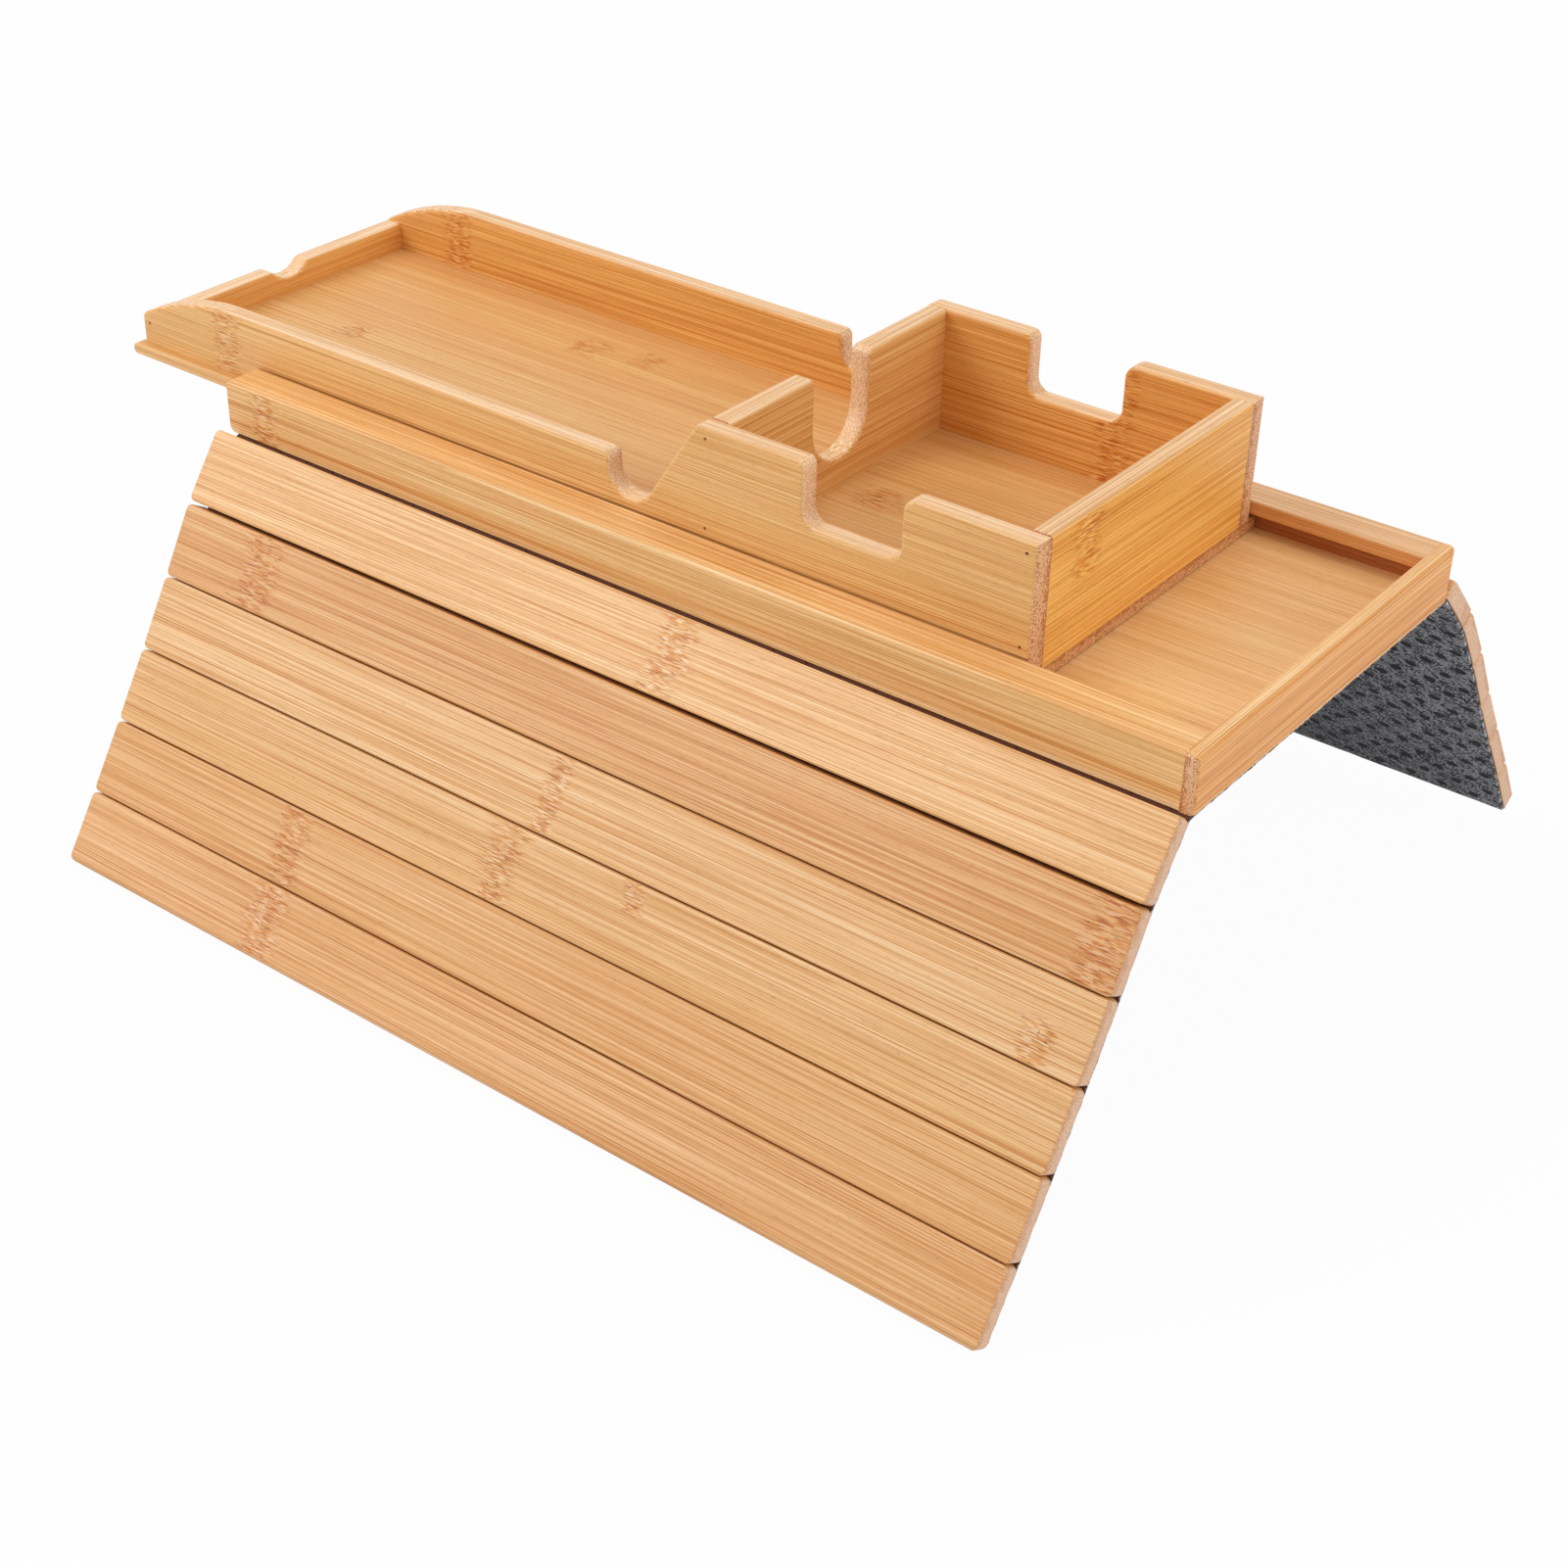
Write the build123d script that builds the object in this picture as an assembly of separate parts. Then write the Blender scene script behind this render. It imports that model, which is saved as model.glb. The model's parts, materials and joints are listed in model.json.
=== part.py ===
"""Sofa arm tray in bamboo.

A flat platform lies on the arm of a sofa. A long open tray slides along two grooves on
top of it, and a flap of slats hangs down each side of the arm. One sheet of felt is glued
under the platform and inside both flaps, and is the hinge between every two slats.

X runs along the arm, with the open end of the platform at -X. +Y is the back and +Z is up.
The origin is the middle of the felt's underside, where the platform lies on the arm.
"""
import os
from math import cos, radians, sin, sqrt, tan

from build123d import *

# Platform
platform_length = 400.0
platform_width = 167.0
platform_floor_thickness = 8.8
rail_height = 20.2
lip_width = 14.7
lip_thickness = 4.8
end_rail_thickness = 4.5
rail_edge_radius = 2.0
end_rail_rim_radius = 1.9
rail_inner_edge_radius = 0.8
rail_foot_radius = 3.0

# Felt
felt_thickness = 1.2
felt_left_inset = 3.6
felt_right_inset = 0.5
felt_hem_inset = 2.8
felt_hinge_clearance = 0.1

# Sliding tray
side_clearance = 0.7
running_clearance = 0.3
stop_clearance = 0.5
tray_extension = 62.0
tray_floor_thickness = 4.5
tray_floor_edge_radius = 0.8
tray_floor_nosing = 1.6
tray_floor_nosing_radius = 2.0
flange_projection = 4.1
wall_thickness = 7.8
high_wall_height = 45.0
low_wall_height = 23.7
end_wall_height = 10.6
wall_edge_radius = 1.5
wall_corner_radius = 3.0
rise_length = 50.0
cup_compartment_length = 113.0

# Notches in the tray's walls
side_notch_width = 36.5
side_notch_sill = 10.4
side_notch_radius = 8.0
side_notch_slope_deg = 57.5
handle_notch_width = 37.0
handle_notch_depth = 21.8
handle_notch_offset = 35.2
handle_notch_radius = 5.0
divider_notch_width = 30.0
divider_notch_sill = 10.8
finger_notch_width = 18.0
finger_notch_depth = 4.2
finger_notch_lip_radius = 3.5

# Brads through the long walls into the cross walls
brad_radius = 0.6
brad_length = 20.0
brad_sink = 0.8
upper_brad_drop = 3.9
lower_brad_height = 9.5
end_brad_height = 7.6

# Slats of the flaps, with each slat's slope below the horizontal as the flaps hang
slat_width = 27.3
slat_gap = 0.6
slat_thickness = 7.0
slat_outer_radius = 0.9
slat_inner_radius = 0.35
slat_corner_radius = 2.2
last_slat_corner_radius = 3.0
last_slat_edge_radius = 3.0
front_slat_slopes_deg = [54.0, 60.0, 59.0, 58.0, 57.0, 56.0]
back_slat_slopes_deg = [45.0, 54.0, 57.0, 55.0, 54.5, 56.5]

overrun = 5.0

# Heights and places that follow from the sizes above
web_thickness = lip_width - flange_projection
platform_bottom = felt_thickness
rail_top = platform_bottom + rail_height
platform_floor_top = platform_bottom + platform_floor_thickness
platform_half_width = platform_width / 2
platform_left = -platform_length / 2
platform_right = platform_length / 2
end_rail_inner = platform_right - end_rail_thickness
tray_length = platform_length - end_rail_thickness - stop_clearance
tray_left = platform_left - tray_extension
tray_right = tray_left + tray_length
tray_half_width = platform_half_width - lip_width - side_clearance
inner_half_width = tray_half_width - wall_thickness
tray_floor_bottom = platform_floor_top + running_clearance
tray_floor_top = tray_floor_bottom + tray_floor_thickness
high_top = tray_floor_top + high_wall_height
low_top = tray_floor_top + low_wall_height
end_wall_top = tray_floor_top + end_wall_height
right_wall_inner = tray_right - wall_thickness
divider_right = right_wall_inner - cup_compartment_length
divider_left = divider_right - wall_thickness
side_notch_left = divider_left - side_notch_width
handle_notch_left = divider_right + handle_notch_offset
handle_notch_right = handle_notch_left + handle_notch_width
slat_pitch = slat_width + slat_gap
hinge_height = felt_thickness / 2
hinge_half_width = platform_half_width + slat_gap / 2
felt_hinge_setback = felt_thickness / 2 + felt_hinge_clearance
felt_left = platform_left + felt_left_inset
felt_right = platform_right - felt_right_inset


def rounded_face(edges, corners):
    """A face inside the edges, with a radius at each of the corners listed."""
    face = make_face(edges)
    for point, radius in corners:
        face = fillet(face.vertices().sort_by_distance(point)[0], radius)
    return face


def rounded_polygon(points, radii):
    """A polygon with its own radius at each corner; 0 leaves a corner sharp."""
    corners = [(point, radius) for point, radius in zip(points, radii) if radius > 0]
    return rounded_face(Polyline(*points, close=True).edges(), corners)


def along_x(section, start, length):
    """Pushes a section drawn as (Y, Z) along X."""
    plane = Plane(origin=(start, 0, 0), x_dir=(0, 1, 0), z_dir=(1, 0, 0))
    return extrude(plane * section, amount=length)


def along_y(outline, start, length):
    """Pushes an outline drawn as (X, Z) along Y."""
    plane = Plane(origin=(0, start, 0), x_dir=(1, 0, 0), z_dir=(0, -1, 0))
    return extrude(plane * outline, amount=-length)


def box(low, high):
    """A box from its lowest corner to its highest corner."""
    sizes = [top - bottom for bottom, top in zip(low, high)]
    return Pos(*low) * Box(*sizes, align=(Align.MIN, Align.MIN, Align.MIN))


def runs_along(edge, direction):
    """Whether the middle of an edge points along a direction, either way."""
    return abs(edge.tangent_at(0.5).dot(Vector(*direction))) > 0.999


def to_back(piece):
    """The same piece on the back side of the arm."""
    return mirror(piece, about=Plane.XZ)


# The platform: two rabbeted rails, a floor board between them and a rail across the right end

def make_front_rail():
    outer = -platform_half_width
    section = rounded_polygon(
        [
            (outer, platform_bottom),
            (outer + web_thickness, platform_bottom),
            (outer + web_thickness, rail_top - lip_thickness),
            (outer + lip_width, rail_top - lip_thickness),
            (outer + lip_width, rail_top),
            (outer, rail_top),
        ],
        [rail_inner_edge_radius, 0, 0, 0, rail_inner_edge_radius, rail_edge_radius],
    )
    side_view = rounded_polygon(
        [
            (platform_left, platform_bottom),
            (end_rail_inner, platform_bottom),
            (end_rail_inner, rail_top),
            (platform_left, rail_top),
        ],
        [rail_foot_radius, 0, 0, rail_edge_radius],
    )
    bar = along_x(section, platform_left, end_rail_inner - platform_left)
    return bar & along_y(side_view, outer, lip_width)


def make_end_rail():
    low = (end_rail_inner, -platform_half_width, platform_bottom)
    rail = box(low, (platform_right, platform_half_width, rail_top))
    uprights = rail.edges().filter_by(Axis.Z).group_by(Axis.X)[-1]
    rail = fillet(uprights, rail_edge_radius)
    rim = rail.faces().sort_by(Axis.Z)[-1].outer_wire().edges().sort_by(Axis.X)
    return fillet(rim[1:], end_rail_rim_radius)


def make_platform_floor():
    half_width = platform_half_width - web_thickness
    low = (platform_left, -half_width, platform_bottom)
    return box(low, (end_rail_inner, half_width, platform_floor_top))


def make_platform_felt():
    half_width = hinge_half_width - felt_hinge_setback
    return box((felt_left, -half_width, 0), (felt_right, half_width, felt_thickness))


# The tray: a floor board whose edges run in the grooves, and five walls nailed together

def make_tray_floor():
    half_width = tray_half_width + flange_projection
    section = rounded_polygon(
        [
            (-half_width, tray_floor_bottom),
            (half_width, tray_floor_bottom),
            (half_width, tray_floor_top),
            (-half_width, tray_floor_top),
        ],
        [tray_floor_edge_radius] * 4,
    )
    left = tray_left - tray_floor_nosing
    board = along_x(section, left, tray_right - left)
    side_view = rounded_polygon(
        [
            (left, tray_floor_bottom),
            (tray_right, tray_floor_bottom),
            (tray_right, tray_floor_top),
            (left, tray_floor_top),
        ],
        [tray_floor_nosing_radius, 0, 0, tray_floor_nosing_radius],
    )
    return board & along_y(side_view, -half_width, 2 * half_width)


def long_wall_outline():
    """The long wall from the side: a rising left end, a low run, a dip, and a high run."""
    sill = tray_floor_top + side_notch_sill
    sill_right = divider_left - (high_top - sill) / tan(radians(side_notch_slope_deg))
    handle_sill = high_top - handle_notch_depth
    rise_height = low_top - end_wall_top
    rise_radius = (rise_length**2 + rise_height**2) / (2 * rise_height)
    rise_right = tray_left + rise_length
    rise_middle = tray_left + rise_length / 2
    sag = rise_radius - sqrt(rise_radius**2 - (rise_right - rise_middle) ** 2)
    rise = ThreePointArc((tray_left, end_wall_top), (rise_middle, low_top - sag), (rise_right, low_top))
    rest = Polyline(
        (rise_right, low_top),
        (side_notch_left, low_top),
        (side_notch_left, sill),
        (sill_right, sill),
        (divider_left, high_top),
        (handle_notch_left, high_top),
        (handle_notch_left, handle_sill),
        (handle_notch_right, handle_sill),
        (handle_notch_right, high_top),
        (tray_right, high_top),
        (tray_right, tray_floor_top),
        (tray_left, tray_floor_top),
        (tray_left, end_wall_top),
    )
    corners = [
        ((tray_left, end_wall_top), wall_corner_radius),
        ((side_notch_left, low_top), wall_corner_radius),
        ((side_notch_left, sill), side_notch_radius),
        ((sill_right, sill), side_notch_radius),
        ((divider_left, high_top), wall_corner_radius),
        ((handle_notch_left, high_top), wall_corner_radius),
        ((handle_notch_left, handle_sill), handle_notch_radius),
        ((handle_notch_right, handle_sill), handle_notch_radius),
        ((handle_notch_right, high_top), handle_notch_radius),
    ]
    return rounded_face(rise.edges() + rest.edges(), corners)


def make_front_wall():
    wall = along_y(long_wall_outline(), -tray_half_width, wall_thickness)

    def is_sanded(edge):
        middle = edge.center()
        joint_side = middle.Y > -tray_half_width + wall_thickness / 2 and runs_along(edge, (0, 0, 1))
        at_an_end = not tray_left + wall_edge_radius < middle.X < tray_right - wall_edge_radius
        on_floor = middle.Z < tray_floor_top + wall_edge_radius
        return not (runs_along(edge, (0, 1, 0)) or on_floor or joint_side and at_an_end)

    wall = fillet(wall.edges().filter_by(is_sanded), wall_edge_radius)
    return wall - [brad_hole(x, z) for x, z in brad_places()]


def cross_wall(outline, left):
    """A wall between the long walls: pushed from its outline, sanded on top and drilled."""
    wall = along_x(outline, left, wall_thickness)

    def is_sanded(edge):
        on_floor = edge.center().Z < tray_floor_top + wall_edge_radius
        at_a_joint = abs(edge.center().Y) > inner_half_width - wall_edge_radius
        return not (runs_along(edge, (1, 0, 0)) or on_floor or at_a_joint)

    wall = fillet(wall.edges().filter_by(is_sanded), wall_edge_radius)
    holes = [brad_hole(x, z) for x, z in brad_places() if left < x < left + wall_thickness]
    return wall - holes - [to_back(hole) for hole in holes]


def make_left_end_wall():
    """The low end wall, with a shallow dip for a fingertip in the middle of its top."""
    half_notch = finger_notch_width / 2
    notch_radius = (half_notch**2 + finger_notch_depth**2) / (2 * finger_notch_depth)
    points = [
        (-inner_half_width, tray_floor_top),
        (inner_half_width, tray_floor_top),
        (inner_half_width, end_wall_top),
        (-inner_half_width, end_wall_top),
    ]
    outline = rounded_polygon(points, [0] * 4)
    centre = (0, end_wall_top - finger_notch_depth + notch_radius)
    outline = outline - Pos(*centre) * Circle(notch_radius)
    for side in (-1, 1):
        lip = outline.vertices().sort_by_distance((side * half_notch, end_wall_top))[0]
        outline = fillet(lip, finger_notch_lip_radius)
    return cross_wall(outline, tray_left)


def make_divider():
    """The wall beside the cup compartment, with a deep U in the middle."""
    radius = divider_notch_width / 2
    bowl_height = tray_floor_top + divider_notch_sill + radius
    bowl = ThreePointArc((-radius, bowl_height), (0, bowl_height - radius), (radius, bowl_height))
    rest = Polyline(
        (radius, bowl_height),
        (radius, high_top),
        (inner_half_width, high_top),
        (inner_half_width, tray_floor_top),
        (-inner_half_width, tray_floor_top),
        (-inner_half_width, high_top),
        (-radius, high_top),
        (-radius, bowl_height),
    )
    corners = [((side * radius, high_top), wall_corner_radius) for side in (-1, 1)]
    return cross_wall(rounded_face(bowl.edges() + rest.edges(), corners), divider_left)


def make_right_end_wall():
    points = [
        (-inner_half_width, tray_floor_top),
        (inner_half_width, tray_floor_top),
        (inner_half_width, high_top),
        (-inner_half_width, high_top),
    ]
    return cross_wall(rounded_polygon(points, [0] * 4), right_wall_inner)


def brad_places():
    """Where the brads of the front wall are, as (X, Z)."""
    lower = tray_floor_top + lower_brad_height
    upper = high_top - upper_brad_drop
    places = [(tray_left + wall_thickness / 2, tray_floor_top + end_brad_height)]
    for left in (divider_left, right_wall_inner):
        places += [(left + wall_thickness / 2, lower), (left + wall_thickness / 2, upper)]
    return places


def brad_hole(x, z):
    """The hole of one front brad, from outside the wall to the brad's tip."""
    start = Plane(origin=(x, -tray_half_width - overrun, z), z_dir=(0, 1, 0))
    depth = overrun + brad_sink + brad_length
    return start * Cylinder(brad_radius, depth, align=(Align.CENTER, Align.CENTER, Align.MIN))


def make_brads():
    """All brads of the tray, sunk a little below the face of the long walls."""
    brads = []
    for x, z in brad_places():
        start = Plane(origin=(x, -tray_half_width + brad_sink, z), z_dir=(0, 1, 0))
        body = Cylinder(brad_radius, brad_length, align=(Align.CENTER, Align.CENTER, Align.MIN))
        brads += [start * body, to_back(start * body)]
    return Compound(children=brads)


# The flaps: slats and their felt, made flat at the hinge line and then swung down

def make_flat_slat(is_last):
    """One slat lying flat at +Y from its hinge line, with the felt under it."""
    near = slat_gap / 2
    far = near + slat_width
    under = felt_thickness / 2
    top = under + slat_thickness
    far_radius = last_slat_corner_radius if is_last else slat_corner_radius
    plan = rounded_polygon(
        [(platform_left, near), (platform_right, near), (platform_right, far), (platform_left, far)],
        [slat_corner_radius, slat_corner_radius, far_radius, far_radius],
    )
    slat = Pos(0, 0, under) * extrude(plan, amount=slat_thickness)
    slat = fillet(slat.faces().sort_by(Axis.Z)[-1].edges(), slat_outer_radius)
    slat = fillet(slat.faces().sort_by(Axis.Z)[0].edges(), slat_inner_radius)
    if not is_last:
        return slat
    section = rounded_polygon(
        [(near, under), (far, under), (far, top), (near, top)],
        [0, 0, last_slat_edge_radius, 0],
    )
    return slat & along_x(section, platform_left, platform_length)


def make_flat_felt(is_last):
    """The felt under one slat, with a round nose that turns on the hinge line."""
    far = slat_gap / 2 + slat_width - felt_hem_inset if is_last else slat_pitch - felt_hinge_setback
    half_thickness = felt_thickness / 2
    sheet = box((felt_left, 0, -half_thickness), (felt_right, far, half_thickness))
    nose_align = (Align.CENTER, Align.CENTER, Align.MIN)
    nose = Cylinder(half_thickness, felt_right - felt_left, align=nose_align)
    return sheet + Plane(origin=(felt_left, 0, 0), z_dir=(1, 0, 0)) * nose


def swing_down(piece, y, z, slope_deg):
    """Turns a flat piece down about its hinge line and carries it to its place at the back."""
    return Pos(0, y, z) * Rot(-slope_deg, 0, 0) * piece


def make_flap(slopes_deg):
    """The slats and felts of a flap at the back, from the platform down."""
    pieces = []
    y = hinge_half_width
    z = hinge_height
    for slope_deg in slopes_deg:
        is_last = len(pieces) == len(slopes_deg) - 1
        slat = swing_down(make_flat_slat(is_last), y, z, slope_deg)
        felt = swing_down(make_flat_felt(is_last), y, z, slope_deg)
        pieces.append((slat, felt))
        print(f"hinge line at y {y:.3f} z {z:.3f} slope {slope_deg}")
        y += slat_pitch * cos(radians(slope_deg))
        z -= slat_pitch * sin(radians(slope_deg))
    return pieces


def make_all():
    front_rail = make_front_rail()
    front_wall = make_front_wall()
    nodes = {
        "platform_floor": make_platform_floor(),
        "front_rail": front_rail,
        "back_rail": to_back(front_rail),
        "end_rail": make_end_rail(),
        "platform_felt": make_platform_felt(),
        "tray_floor": make_tray_floor(),
        "tray_front_wall": front_wall,
        "tray_back_wall": to_back(front_wall),
        "tray_left_end_wall": make_left_end_wall(),
        "tray_divider": make_divider(),
        "tray_right_end_wall": make_right_end_wall(),
        "tray_brads": make_brads(),
    }
    for number, (slat, felt) in enumerate(make_flap(back_slat_slopes_deg), start=1):
        nodes[f"back_slat_{number}"] = slat
        nodes[f"back_felt_{number}"] = felt
    for number, (slat, felt) in enumerate(make_flap(front_slat_slopes_deg), start=1):
        nodes[f"front_slat_{number}"] = to_back(slat)
        nodes[f"front_felt_{number}"] = to_back(felt)
    return nodes


def main():
    os.makedirs("parts", exist_ok=True)
    for name, piece in make_all().items():
        export_step(piece, f"parts/{name}.step")


main()
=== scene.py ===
# %% [markdown]
# # A bamboo tray for the arm of a sofa
#
# The packed model brings every board, brad and slat at its true size and place, in metres:
# X runs along the arm, the back is +Y, up is +Z, and the origin is the middle of the felt's
# underside. This script adds what the solids lack: the grain and knuckles of bamboo, soft
# perforated felt that is rounded at the folds, studio light and the camera. The boards could
# be modelled again in Blender, but then picture and part could drift apart. So the solids stay
# as they are and only get their finish here.

# %% Load the model and measure it
import json
import math
from dataclasses import dataclass, field

import bpy
from mathutils import Matrix, Vector, noise


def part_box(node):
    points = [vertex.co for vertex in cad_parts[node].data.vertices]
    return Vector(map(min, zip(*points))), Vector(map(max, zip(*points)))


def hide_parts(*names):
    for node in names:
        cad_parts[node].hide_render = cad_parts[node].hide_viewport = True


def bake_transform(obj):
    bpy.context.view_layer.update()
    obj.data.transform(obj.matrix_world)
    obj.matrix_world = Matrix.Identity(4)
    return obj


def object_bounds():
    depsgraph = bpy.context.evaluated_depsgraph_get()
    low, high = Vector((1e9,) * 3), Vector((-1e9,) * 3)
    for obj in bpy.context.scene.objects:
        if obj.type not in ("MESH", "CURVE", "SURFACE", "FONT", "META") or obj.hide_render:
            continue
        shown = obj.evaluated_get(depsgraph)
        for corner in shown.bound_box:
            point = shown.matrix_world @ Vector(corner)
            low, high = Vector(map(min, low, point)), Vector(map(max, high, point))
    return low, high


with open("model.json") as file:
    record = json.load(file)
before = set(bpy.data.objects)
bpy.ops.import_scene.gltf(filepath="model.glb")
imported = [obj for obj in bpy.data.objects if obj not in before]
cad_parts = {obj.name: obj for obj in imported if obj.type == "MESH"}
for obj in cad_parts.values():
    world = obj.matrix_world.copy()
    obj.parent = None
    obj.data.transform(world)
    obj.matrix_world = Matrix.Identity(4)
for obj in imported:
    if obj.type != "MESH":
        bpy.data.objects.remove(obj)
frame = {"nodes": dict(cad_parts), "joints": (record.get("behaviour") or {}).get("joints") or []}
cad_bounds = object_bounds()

MM = 0.001
nodes = frame["nodes"]
joints = {joint["name"]: joint for joint in frame["joints"]}
print("boards, brads and felts:", len(nodes), "joints:", len(joints))
print("box in mm:", [[round(c / MM, 1) for c in corner] for corner in cad_bounds])

# %% [markdown]
# ## The camera
#
# The picture was taken from the front right, about 0.7 metres away, so near edges look
# clearly larger than far ones. A camera could be dragged into place by hand. Numbers put it
# in the same place on each run: azimuth and elevation say where it stands round the point
# that it looks at, and roll is how far it leans. The rotation's columns are the camera's own
# right, up and back directions.

# %% Place the camera
CAMERA_TARGET = Vector((117.45, -168.3, 21.2)) * MM
CAMERA_DISTANCE = 718.35 * MM
CAMERA_AZIMUTH = math.radians(36.72)
CAMERA_ELEVATION = math.radians(32.86)
CAMERA_ROLL = math.radians(1.39)
SENSOR = 36.0
LENS = 59.82


def camera_axes(azimuth, elevation, roll):
    """The right, up and back directions of a camera that stands at these angles."""
    level = math.cos(elevation)
    back = Vector((math.sin(azimuth) * level, -math.cos(azimuth) * level, math.sin(elevation)))
    right = (-back).cross(Vector((0, 0, 1))).normalized()
    up = back.cross(right)
    leaned_right = right * math.cos(roll) + up * math.sin(roll)
    leaned_up = up * math.cos(roll) - right * math.sin(roll)
    return leaned_right, leaned_up, back


camera_data = bpy.data.cameras.new("studio_camera")
camera_data.sensor_width = SENSOR
camera_data.lens = LENS
camera = bpy.data.objects.new("studio_camera", camera_data)
bpy.context.scene.collection.objects.link(camera)
right, up, back = camera_axes(CAMERA_AZIMUTH, CAMERA_ELEVATION, CAMERA_ROLL)
turn = Matrix((right, up, back)).transposed().to_4x4()
camera.matrix_world = Matrix.Translation(CAMERA_TARGET + back * CAMERA_DISTANCE) @ turn
bpy.context.scene.camera = camera
print("camera stands at", [round(c / MM) for c in camera.matrix_world.translation], "mm")

# %% [markdown]
# ## Writing materials as sums
#
# The look of bamboo and felt is worked out from noise, and that takes many nodes. They could
# be joined by hand in the shader editor, but arithmetic is easier to read. A `Field` is a
# value that changes over a surface, and adding or multiplying two of them makes the Math
# node. Colours and vectors go through Mix and Vector Math nodes. Every other node comes from
# one method, `Finish.node`, which sets the node's settings first and then its sockets.

# %% Wrap a socket so that sums make nodes
class Field:
    """A value that changes over a surface: one output socket of a finish."""

    def __init__(self, finish, socket):
        self.finish = finish
        self.socket = socket

    def __add__(self, other):
        return self.finish.math("ADD", self, other)

    def __sub__(self, other):
        return self.finish.math("SUBTRACT", self, other)

    def __rsub__(self, other):
        return self.finish.math("SUBTRACT", other, self)

    def __mul__(self, other):
        return self.finish.math("MULTIPLY", self, other)

    def __truediv__(self, other):
        return self.finish.math("DIVIDE", self, other)

    def __rtruediv__(self, other):
        return self.finish.math("DIVIDE", other, self)

    def __abs__(self):
        return self.finish.math("ABSOLUTE", self)

    __radd__ = __add__
    __rmul__ = __mul__


print("fields can be added, subtracted, multiplied and divided")


# %% Make every node of a finish in one way
class Finish:
    """The node tree of one material, written with fields."""

    def __init__(self, tree):
        self.tree = tree
        self.tree.nodes.clear()

    def node(self, kind, settings=None, sockets=None, output=0):
        """Adds a node, sets its settings, then links or fills its sockets."""
        node = self.tree.nodes.new(kind)
        for name, value in (settings or {}).items():
            setattr(node, name, value)
        for name, value in (sockets or {}).items():
            if isinstance(value, Field):
                self.tree.links.new(value.socket, node.inputs[name])
            else:
                node.inputs[name].default_value = value
        return Field(self, node.outputs[output]) if node.outputs else None

    def math(self, operation, *values):
        """One Math node on fields or plain numbers."""
        return self.node("ShaderNodeMath", {"operation": operation}, dict(enumerate(values)))

    def dot(self, place, axis):
        """How far a place lies along an axis."""
        settings = {"operation": "DOT_PRODUCT"}
        return self.node("ShaderNodeVectorMath", settings, {0: place, 1: axis}, "Value")

    def scaled(self, place, scale):
        """A vector, made longer."""
        settings = {"operation": "SCALE"}
        return self.node("ShaderNodeVectorMath", settings, {0: place, "Scale": scale})

    def joined(self, x, y, z):
        """A vector from its three parts."""
        return self.node("ShaderNodeCombineXYZ", None, {"X": x, "Y": y, "Z": z})

    def step(self, value, low, high):
        """A soft step: 0 below low, 1 above high."""
        settings = {"interpolation_type": "SMOOTHSTEP"}
        sockets = {"Value": value, "From Min": low, "From Max": high}
        return self.node("ShaderNodeMapRange", settings, sockets)

    def mix(self, share, first, second, blend="MIX"):
        """The first colour where share is 0 and the second where it is 1."""
        settings = {"data_type": "RGBA", "clamp_factor": True, "blend_type": blend}
        return self.node("ShaderNodeMix", settings, {0: share, 6: first, 7: second}, output=2)

    def tint(self, share, colour, red, green, blue):
        """A colour whose channels are scaled where share is 1."""
        return self.mix(share, colour, (red, green, blue, 1.0), "MULTIPLY")

    def noise(self, place, detail, roughness=0.5):
        """Cloudy values around 0.5, one cloud for each unit of place."""
        sockets = {"Vector": place, "Scale": 1.0, "Detail": detail, "Roughness": roughness}
        return self.node("ShaderNodeTexNoise", None, sockets)

    def bump(self, height, strength, distance):
        """The surface's normal, tipped by a height field."""
        sockets = {"Height": height, "Strength": strength, "Distance": distance}
        return self.node("ShaderNodeBump", None, sockets)

    def principled(self, **sockets):
        """The shader of a solid surface, and the output that it feeds."""
        sockets = {name.replace("_", " ").title(): value for name, value in sockets.items()}
        shader = self.node("ShaderNodeBsdfPrincipled", None, sockets)
        self.node("ShaderNodeOutputMaterial", None, {"Surface": shader})


print("a Finish can make", sorted(name for name in vars(Finish) if not name.startswith("_")))


# %% Start a material and name colours as they look
def new_material(name):
    """A material with an empty tree, and the finish that fills it."""
    material = bpy.data.materials.new(name)
    material.use_nodes = True
    return material, Finish(material.node_tree)


def tone(red, green, blue):
    """A colour as it looks on screen, from 0 to 255, as the values that shaders use."""
    def linear(value):
        value = value / 255
        return value / 12.92 if value <= 0.04045 else ((value + 0.055) / 1.055) ** 2.4

    return (linear(red), linear(green), linear(blue), 1.0)


print("honey bamboo in shader values:", [round(c, 3) for c in tone(225, 170, 110)])

# %% [markdown]
# ## Boards and their grain
#
# Each board was cut on its own, so its grain has a direction and a pattern of its own. One
# shared material would run the same lines through all of them. So each board is described
# once: which way the fibres run, how it is toned, and where its knuckles are, the rings
# across a bamboo stem that sawn strips show as bands of torn, darker fibres. The broad face
# is read from the mesh, because the slats hang at many angles: it is the direction that has
# the most area.

# %% Describe a board
X = Vector((1, 0, 0))
Y = Vector((0, 1, 0))


@dataclass
class Knuckle:
    """A knuckle: its place along the grain in mm, its size, and the strip it lies in."""

    along: float
    size: float = 1.0
    across: float = 0.0
    half_width: float = 1000.0


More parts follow.
